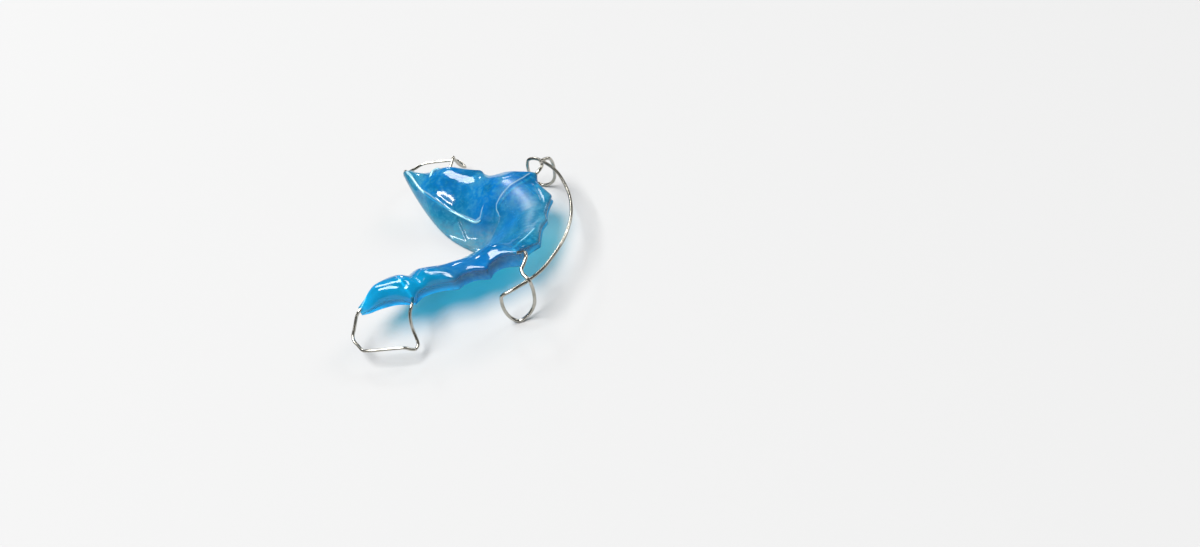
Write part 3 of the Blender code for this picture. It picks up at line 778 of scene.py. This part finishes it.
def draw_wire(name, points, tags, diameter, tree):
    """A piece of wire along the points, moved from the arch's frame to the shared one."""
    path = bent_path(points, WIRE_SPACING / 2.0)
    gone = gone_by(path)
    from_start, from_end = (gone_by(tag)[-1] + TAG_SPARE for tag in tags)
    at_start = ease((from_start - gone) / TAG_SPARE)
    at_end = ease((gone - gone[-1] + from_end) / TAG_SPARE)
    cast_in = np.maximum(at_start, at_end).astype(np.float32)
    guide = bpy.data.meshes.new(name + "_path")
    edges = [(i, i + 1) for i in range(len(path) - 1)]
    guide.from_pydata([(p.x, p.y - ARCH_CENTRE_Y, p.z) for p in path], edges, [])
    guide.attributes.new("cast_in", "FLOAT", "POINT").data.foreach_set("value", cast_in)
    drawn = bpy.data.objects.new(name + "_path", guide)
    bpy.context.scene.collection.objects.link(drawn)
    modifier = drawn.modifiers.new("wire", "NODES")
    modifier.node_group = tree
    sockets = {item.name: item.identifier for item in tree.interface.items_tree}
    modifier[sockets["Diameter"]] = diameter
    modifier[sockets["Spacing"]] = WIRE_SPACING
    modifier[sockets["Sides"]] = WIRE_SIDES
    depsgraph = bpy.context.evaluated_depsgraph_get()
    mesh = bpy.data.meshes.new_from_object(drawn.evaluated_get(depsgraph), depsgraph=depsgraph)
    bpy.data.objects.remove(drawn, do_unlink=True)
    mesh.name = name
    wire = bpy.data.objects.new(name, mesh)
    bpy.context.scene.collection.objects.link(wire)
    return wire


# Looks of the steel. Its ends in the acrylic get a painted reflection: the blue of the acrylic round them,
# and less metal
STEEL_DARK = (0.35, 0.34, 0.29, 1.0)
STEEL_PALE = (0.54, 0.52, 0.47, 1.0)
PAINTED_REFLECTION_BLUE = (0.28, 0.58, 0.70, 1.0)
PAINTED_REFLECTION_METALLIC = 0.3
STEEL_CLOUDS_FROM, STEEL_CLOUDS_TO = 0.35, 0.65
DRAWN_LEAST, DRAWN_MOST = 0.14, 0.26
SCRATCH_STRENGTH = 0.15
SCRATCH_DEPTH = 0.01 * MM
STEEL_MARKS = {"Scale": 6000.0, "Stretch": 0.04, "Cloud Scale": 260.0}


def unrolled_wire(tree):
    """A place on the wire for its marks: along it, and round it on a circle, so no seam shows."""
    turn = spread(tree, kept_value(tree, "around_wire"), 0.0, 1.0, 0.0, 2.0 * math.pi)
    unrolled = tree.nodes.new("ShaderNodeCombineXYZ")
    tree.links.new(kept_value(tree, "along_wire"), unrolled.inputs["X"])
    for operation, socket in (("COSINE", "Y"), ("SINE", "Z")):
        wave, ringed = tree.nodes.new("ShaderNodeMath"), tree.nodes.new("ShaderNodeMath")
        wave.operation, ringed.operation = operation, "MULTIPLY"
        ringed.inputs[1].default_value = BOW_DIAMETER / 2.0
        tree.links.new(turn, wave.inputs[0])
        tree.links.new(wave.outputs["Value"], ringed.inputs[0])
        tree.links.new(ringed.outputs["Value"], unrolled.inputs[socket])
    return unrolled.outputs["Vector"]


def drawn_steel_wire():
    material = bpy.data.materials.new("drawn_steel_wire")
    material.use_nodes = True
    tree = material.node_tree
    nodes, links = tree.nodes, tree.links
    shader = nodes["Principled BSDF"]
    marks = placed_marks(tree, unrolled_wire(tree), STEEL_MARKS)
    hairlines = marks.outputs["Hairlines"]

    tone = nodes.new("ShaderNodeMix")
    tone.data_type = "RGBA"
    tone.inputs["A"].default_value = STEEL_DARK
    tone.inputs["B"].default_value = STEEL_PALE
    cloudy = spread(tree, marks.outputs["Clouds"], STEEL_CLOUDS_FROM, STEEL_CLOUDS_TO, 0.0, 1.0)
    links.new(cloudy, tone.inputs["Factor"])
    # The cast-in ends get a painted reflection of the blue acrylic round them
    cast_in = kept_value(tree, "cast_in")
    links.new(blended(tree, cast_in, tone.outputs["Result"], PAINTED_REFLECTION_BLUE), shader.inputs["Base Color"])
    links.new(spread(tree, cast_in, 0.0, 1.0, 1.0, PAINTED_REFLECTION_METALLIC), shader.inputs["Metallic"])
    drawn = spread(tree, hairlines, HAIRLINES_FROM, HAIRLINES_TO, DRAWN_LEAST, DRAWN_MOST)
    links.new(drawn, shader.inputs["Roughness"])

    scratch = nodes.new("ShaderNodeBump")
    scratch.inputs["Strength"].default_value = SCRATCH_STRENGTH
    scratch.inputs["Distance"].default_value = SCRATCH_DEPTH
    links.new(hairlines, scratch.inputs["Height"])
    links.new(scratch.outputs["Normal"], shader.inputs["Normal"])
    return material


tree = wire_tree(drawn_steel_wire())
bow_side = beside_exit(BOW_EXIT, BOW_SPOTS)
bow_middle = outside_arch(0.0, BOW_OUT, BOW_DEPTH)
bow_route = near_bow_tag[::-1] + bow_side + [bow_middle] + mirrored(bow_side)[::-1] + mirrored(far_bow_tag)
clasp_route = rear_clasp_tag[::-1] + beside_exit(CLASP_EXIT, CLASP_SPOTS) + front_clasp_tag
clasp_tags = (rear_clasp_tag, front_clasp_tag)
for name, node, route, tags, diameter in (
    ("steel_labial_bow", "labial_bow", bow_route, (near_bow_tag, far_bow_tag), BOW_DIAMETER),
    ("steel_clasp_right", "molar_clasp_right", clasp_route, clasp_tags, CLASP_DIAMETER),
    ("steel_clasp_left", "molar_clasp_left", mirrored(clasp_route), clasp_tags, CLASP_DIAMETER),
):
    wire = draw_wire(name, route, tags, diameter, tree)
    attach(wire, "root")
    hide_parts(node)

# Bench, lamps and camera. The retainer lies on a plain matt sheet under a wide window. The acrylic
# and the wires also mirror a small window at the back left, a narrow one at the front left and a
# screen at the back right, as the camera sees them. The room round them is dim.
FLOOR_HALF = 3.0
PAPER_TONE = 0.46
PAPER_ROUGHNESS = 0.9
ROOM_LIGHT = 0.12

# Each lamp: its name, its place, its width and height, all in metres, and its power in watts
LAMPS = (
    ("window", (0.3, -0.8, 2.7), (2.4, 1.3), 154.0),
    ("left_window", (-1.95, -0.95, 1.42), (0.45, 0.35), 11.0),
    ("side_window", (2.2, -1.75, 1.5), (0.34, 0.11), 3.6),
    ("far_screen", (-1.7, 1.9, 1.8), (1.1, 0.9), 22.0),
)

CAMERA_PLACE = (0.14874, 0.04282 - ARCH_CENTRE_Y, 0.14446)
AZIMUTH = math.radians(105.31)
ELEVATION = math.radians(45.09)
ROLL = math.radians(-15.65)
LENS = 27.0
SENSOR_WIDTH = 36.0
NEAREST_SEEN = 0.001

corners = [(a * FLOOR_HALF, b * FLOOR_HALF, 0.0) for a, b in ((-1, -1), (1, -1), (1, 1), (-1, 1))]
floor_mesh = bpy.data.meshes.new("floor")
floor_mesh.from_pydata(corners, [], [(0, 1, 2, 3)])
floor = bpy.data.objects.new("floor", floor_mesh)
bpy.context.scene.collection.objects.link(floor)
paper = bpy.data.materials.new("white_paper")
paper.use_nodes = True
matt = paper.node_tree.nodes["Principled BSDF"]
matt.inputs["Base Color"].default_value = (PAPER_TONE, PAPER_TONE, PAPER_TONE, 1.0)
matt.inputs["Roughness"].default_value = PAPER_ROUGHNESS
matt.inputs["Specular IOR Level"].default_value = 0.0
floor_mesh.materials.append(paper)

world = bpy.data.worlds.new("studio")
bpy.context.scene.world = world
world.use_nodes = True
room = world.node_tree.nodes["Background"]
room.inputs["Color"].default_value = (1.0, 1.0, 1.0, 1.0)
room.inputs["Strength"].default_value = ROOM_LIGHT

for name, place, size, power in LAMPS:
    light = bpy.data.lights.new(name, "AREA")
    light.shape = "RECTANGLE"
    light.size, light.size_y = size
    light.energy = power
    lamp = bpy.data.objects.new(name, light)
    lamp.location = place
    lamp.rotation_euler = (-Vector(place)).to_track_quat("-Z", "Y").to_euler()
    bpy.context.scene.collection.objects.link(lamp)

back = Vector((
    math.sin(AZIMUTH) * math.cos(ELEVATION),
    -math.cos(AZIMUTH) * math.cos(ELEVATION),
    math.sin(ELEVATION),
))
level = Vector((math.cos(AZIMUTH), math.sin(AZIMUTH), 0.0))
upright = back.cross(level)
side = math.cos(ROLL) * level + math.sin(ROLL) * upright
up = math.cos(ROLL) * upright - math.sin(ROLL) * level
camera = bpy.data.objects.new("camera", bpy.data.cameras.new("camera"))
camera.data.lens = LENS
camera.data.sensor_width = SENSOR_WIDTH
camera.data.clip_start = NEAREST_SEEN
aimed = Matrix((side, up, back)).transposed().to_4x4()
camera.matrix_world = Matrix.Translation(CAMERA_PLACE) @ aimed
bpy.context.scene.collection.objects.link(camera)
bpy.context.scene.camera = camera
bpy.context.scene.view_settings.view_transform = "Standard"
